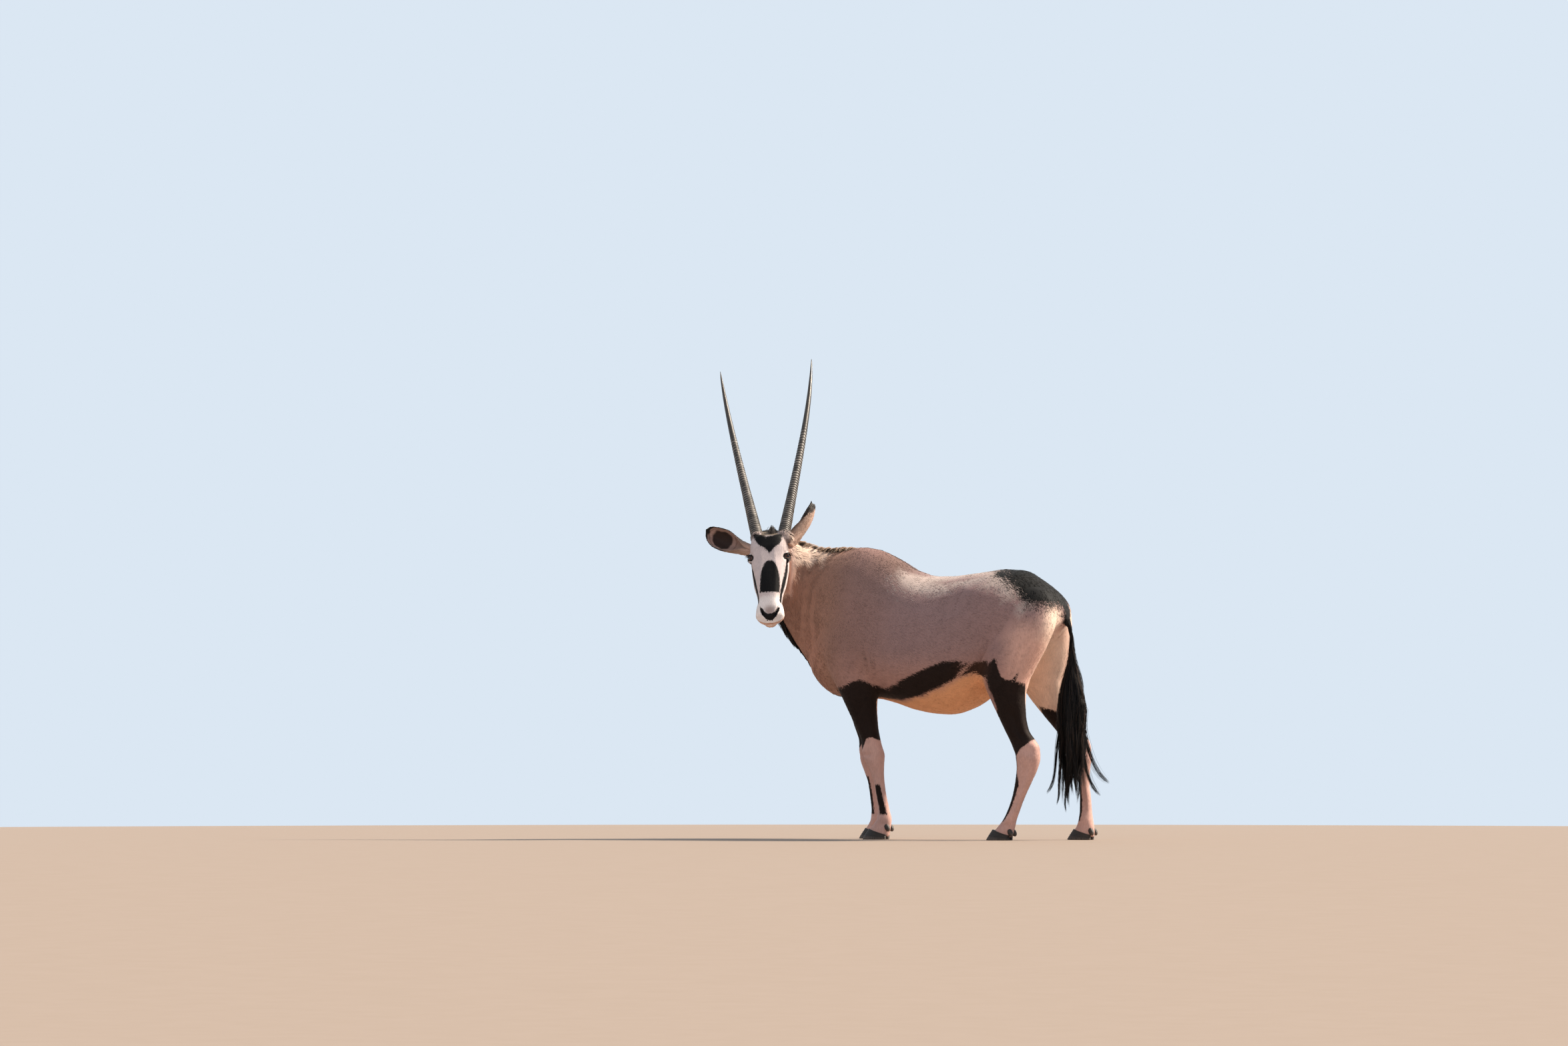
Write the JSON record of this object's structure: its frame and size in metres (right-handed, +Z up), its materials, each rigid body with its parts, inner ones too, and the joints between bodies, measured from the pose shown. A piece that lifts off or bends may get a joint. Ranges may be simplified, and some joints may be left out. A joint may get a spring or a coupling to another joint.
{
  "type": "gemsbok",
  "caption": "Standing gemsbok as a still museum model, head turned over its left side, with long ringed horns, a short ruffled mane, cloven hooves and a long-haired tail.",
  "frame": {"origin": "on the floor under the centre of the animal's bounding box", "axes": "+Z up, +X towards the rump, so the head end lies towards -X, and the animal's left side faces -Y"},
  "size_m": [1.7846, 0.6514, 2.0188],
  "materials": {
    "hide": "short dense hair, sandy grey with black and white markings",
    "face": "short hair, white with black patches",
    "leg_hair": "short hair, dark above and pale pinkish white below",
    "ear": "thin skin with short hair and a black rim",
    "eye": "wet and glossy",
    "horn": "ringed below, smooth and polished towards the tip",
    "hoof": "dry horn, slightly worn",
    "tail_hair": "long coarse black hair"
  },
  "bodies": {
    "root": {"torso": "hide", "neck": "hide", "head": "face", "eye_left": "eye", "eye_right": "eye", "horn_left": "horn", "horn_right": "horn", "ear_left": "ear", "ear_right": "ear", "foreleg_left": "leg_hair", "foreleg_right": "leg_hair", "hindleg_left": "leg_hair", "hindleg_right": "leg_hair", "hoof_foreleg_left_outer": "hoof", "hoof_foreleg_left_inner": "hoof", "hoof_foreleg_right_outer": "hoof", "hoof_foreleg_right_inner": "hoof", "hoof_hindleg_left_outer": "hoof", "hoof_hindleg_left_inner": "hoof", "hoof_hindleg_right_outer": "hoof", "hoof_hindleg_right_inner": "hoof", "dewclaw_foreleg_left_outer": "hoof", "dewclaw_foreleg_left_inner": "hoof", "dewclaw_foreleg_right_outer": "hoof", "dewclaw_foreleg_right_inner": "hoof", "dewclaw_hindleg_left_outer": "hoof", "dewclaw_hindleg_left_inner": "hoof", "dewclaw_hindleg_right_outer": "hoof", "dewclaw_hindleg_right_inner": "hoof", "tail_dock": "hide", "tail_switch": "tail_hair"}
  },
  "joints": []
}
